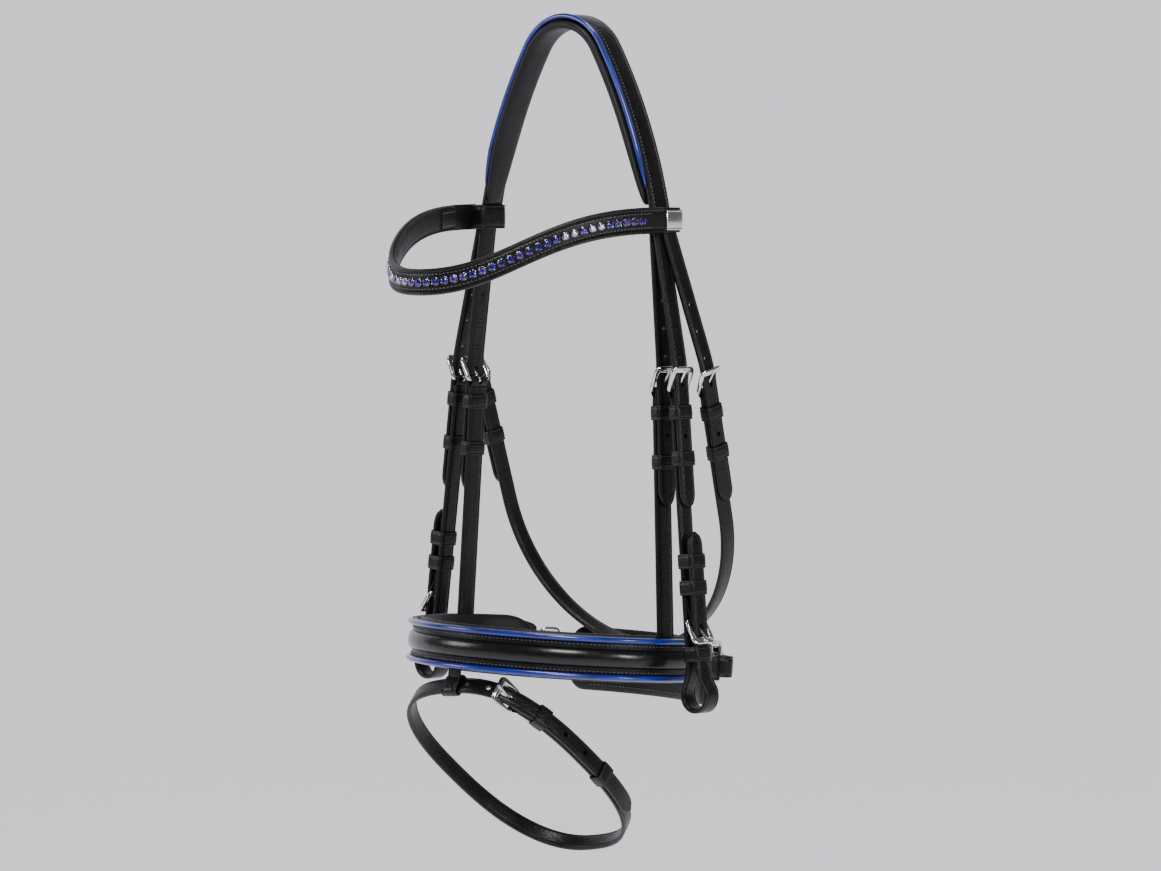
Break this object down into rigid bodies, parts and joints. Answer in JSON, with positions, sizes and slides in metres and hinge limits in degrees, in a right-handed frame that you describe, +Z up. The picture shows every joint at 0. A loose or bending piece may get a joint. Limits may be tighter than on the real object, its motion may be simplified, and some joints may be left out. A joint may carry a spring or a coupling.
{
  "type": "snaffle bridle",
  "caption": "Black leather snaffle bridle: padded crown, curved stone-set browband, cheekpieces with bit loops, padded noseband with blue piping, throatlash and flash strap.",
  "frame": {"origin": "centre of the padded arc that rests on the poll, at the middle of its width", "axes": "+X to the horse's left, -Y forward to the nose, +Z up"},
  "size_m": [0.2906, 0.2582, 0.5887],
  "materials": {
    "leather": "black bridle leather, satin",
    "roll": "black leather, polished",
    "lining": "soft black leather, matt",
    "patent": "blue patent leather, glossy",
    "steel": "polished",
    "plate": "polished",
    "crystal": "faceted"
  },
  "bodies": {
    "headpiece": {"crown_strap": "leather", "crown_padding": "lining", "crown_piping": "patent"},
    "browband": {"browband_strap": "leather", "browband_lining": "lining", "crystal_cups": "steel", "crystals": "crystal", "loop_plate": "plate"},
    "cheek_left": {"cheek_billet_left": "leather", "cheekpiece_left": "leather", "cheek_buckle_left": "steel", "cheek_keepers_left": "leather", "bit_buckle_left": "steel"},
    "cheek_right": {"cheek_billet_right": "leather", "cheekpiece_right": "leather", "cheek_buckle_right": "steel", "cheek_keepers_right": "leather", "bit_buckle_right": "steel"},
    "noseband": {"nosepiece": "leather", "nosepiece_padding": "lining", "nosepiece_roll": "roll", "nosepiece_piping": "patent", "noseband_billet_left": "leather", "noseband_cheek_left": "leather", "noseband_billet_right": "leather", "noseband_cheek_right": "leather", "noseband_buckles": "steel", "noseband_keepers": "leather", "jaw_pad": "lining", "chin_strap": "leather", "chin_rings": "steel", "chin_buckle": "steel"},
    "throatlash": {"throat_billet_left": "leather", "throat_billet_right": "leather", "throat_strap": "leather", "throat_buckles": "steel", "throat_keepers": "leather"},
    "flash": {"flash_loop": "leather", "flash_strap": "leather", "flash_buckle": "steel", "flash_keeper": "leather"},
    "cheek_tongue_left": {"cheek_tongue_left": "steel"},
    "bit_tongue_left": {"bit_tongue_left": "steel"},
    "noseband_tongue_left": {"noseband_tongue_left": "steel"},
    "throat_tongue_left": {"throat_tongue_left": "steel"},
    "cheek_runner_left": {"cheek_runner_left": "leather"},
    "bit_runner_left": {"bit_runner_left": "leather"},
    "noseband_runner_left": {"noseband_runner_left": "leather"},
    "throat_runner_left": {"throat_runner_left": "leather"},
    "cheek_tongue_right": {"cheek_tongue_right": "steel"},
    "bit_tongue_right": {"bit_tongue_right": "steel"},
    "noseband_tongue_right": {"noseband_tongue_right": "steel"},
    "throat_tongue_right": {"throat_tongue_right": "steel"},
    "cheek_runner_right": {"cheek_runner_right": "leather"},
    "bit_runner_right": {"bit_runner_right": "leather"},
    "noseband_runner_right": {"noseband_runner_right": "leather"},
    "throat_runner_right": {"throat_runner_right": "leather"},
    "chin_tongue": {"chin_tongue": "steel"},
    "flash_tongue": {"flash_tongue": "steel"},
    "flash_runner": {"flash_runner": "leather"}
  },
  "joints": [
    {"name": "browband_tip", "type": "hinge", "parent": "headpiece", "child": "browband", "pos_m": [0, 0, -0.097], "axis": [1, 0, 0], "range_deg": [-2, 2]},
    {"name": "cheek_left_swing", "type": "hinge", "parent": "headpiece", "child": "cheek_left", "pos_m": [0.0871, -0.0024, -0.1055], "axis": [-1, 0, 0], "range_deg": [0, 8]},
    {"name": "cheek_right_swing", "type": "hinge", "parent": "headpiece", "child": "cheek_right", "pos_m": [-0.0871, -0.0024, -0.1055], "axis": [-1, 0, 0], "range_deg": [0, 8]},
    {"name": "noseband_swing", "type": "hinge", "parent": "headpiece", "child": "noseband", "pos_m": [0, -0.0014, -0.1055], "axis": [1, 0, 0], "range_deg": [0, 5]},
    {"name": "throatlash_swing", "type": "hinge", "parent": "headpiece", "child": "throatlash", "pos_m": [0, 0.0026, -0.1055], "axis": [1, 0, 0], "range_deg": [0, 2]},
    {"name": "flash_swing", "type": "hinge", "parent": "noseband", "child": "flash", "pos_m": [-0.00109, -0.10913, -0.40864], "axis": [0.9903, 0.0967, 0.1001], "range_deg": [-30, 15]},
    {"name": "cheek_tongue_left_lift", "type": "hinge", "parent": "cheek_left", "child": "cheek_tongue_left", "pos_m": [0.1062, -0.0054, -0.213], "axis": [0, 0.9997, -0.0262], "range_deg": [0, 12]},
    {"name": "bit_tongue_left_lift", "type": "hinge", "parent": "cheek_left", "child": "bit_tongue_left", "pos_m": [0.12734, -0.00945, -0.36756], "axis": [0, -0.9997, 0.0262], "range_deg": [0, 12]},
    {"name": "noseband_tongue_left_lift", "type": "hinge", "parent": "noseband", "child": "noseband_tongue_left", "pos_m": [0.0903, -0.0049, -0.213], "axis": [0, 0.9997, -0.0262], "range_deg": [0, 12]},
    {"name": "throat_tongue_left_lift", "type": "hinge", "parent": "throatlash", "child": "throat_tongue_left", "pos_m": [0.1107, 0.0186, -0.213], "axis": [0, 0.9659, 0.2588], "range_deg": [0, 12]},
    {"name": "cheek_runner_left_slide", "type": "slide", "parent": "cheek_left", "child": "cheek_runner_left", "axis": [0.1097, -0.026, -0.9936], "range_m": [-0.008, 0.008]},
    {"name": "bit_runner_left_slide", "type": "slide", "parent": "cheek_left", "child": "bit_runner_left", "axis": [0.1097, -0.026, -0.9936], "range_m": [-0.006, 0.006]},
    {"name": "noseband_runner_left_slide", "type": "slide", "parent": "noseband", "child": "noseband_runner_left", "axis": [0.0523, -0.0261, -0.9983], "range_m": [-0.008, 0.008]},
    {"name": "throat_runner_left_slide", "type": "slide", "parent": "throatlash", "child": "throat_runner_left", "axis": [-0.0419, 0.2586, -0.9651], "range_m": [-0.008, 0.008]},
    {"name": "cheek_tongue_right_lift", "type": "hinge", "parent": "cheek_right", "child": "cheek_tongue_right", "pos_m": [-0.1062, -0.0054, -0.213], "axis": [0, -0.9997, 0.0262], "range_deg": [0, 12]},
    {"name": "bit_tongue_right_lift", "type": "hinge", "parent": "cheek_right", "child": "bit_tongue_right", "pos_m": [-0.12734, -0.00945, -0.36756], "axis": [0, 0.9997, -0.0262], "range_deg": [0, 12]},
    {"name": "noseband_tongue_right_lift", "type": "hinge", "parent": "noseband", "child": "noseband_tongue_right", "pos_m": [-0.0903, -0.0049, -0.213], "axis": [0, -0.9997, 0.0262], "range_deg": [0, 12]},
    {"name": "throat_tongue_right_lift", "type": "hinge", "parent": "throatlash", "child": "throat_tongue_right", "pos_m": [-0.1107, 0.0186, -0.213], "axis": [0, -0.9659, -0.2588], "range_deg": [0, 12]},
    {"name": "cheek_runner_right_slide", "type": "slide", "parent": "cheek_right", "child": "cheek_runner_right", "axis": [-0.1097, -0.026, -0.9936], "range_m": [-0.008, 0.008]},
    {"name": "bit_runner_right_slide", "type": "slide", "parent": "cheek_right", "child": "bit_runner_right", "axis": [-0.1097, -0.026, -0.9936], "range_m": [-0.006, 0.006]},
    {"name": "noseband_runner_right_slide", "type": "slide", "parent": "noseband", "child": "noseband_runner_right", "axis": [-0.0523, -0.0261, -0.9983], "range_m": [-0.008, 0.008]},
    {"name": "throat_runner_right_slide", "type": "slide", "parent": "throatlash", "child": "throat_runner_right", "axis": [0.0419, 0.2586, -0.9651], "range_m": [-0.008, 0.008]},
    {"name": "chin_tongue_lift", "type": "hinge", "parent": "noseband", "child": "chin_tongue", "pos_m": [0.03755, 0.09274, -0.41215], "axis": [0, 0.0889, 0.996], "range_deg": [0, 12]},
    {"name": "flash_tongue_lift", "type": "hinge", "parent": "flash", "child": "flash_tongue", "pos_m": [0.04046, -0.09644, -0.42373], "axis": [-0.1392, 0.6879, 0.7123], "range_deg": [0, 12]},
    {"name": "flash_runner_slide", "type": "slide", "parent": "flash", "child": "flash_runner", "axis": [0.058, 0.7238, -0.6876], "range_m": [-0.0025, 0.0025]}
  ]
}
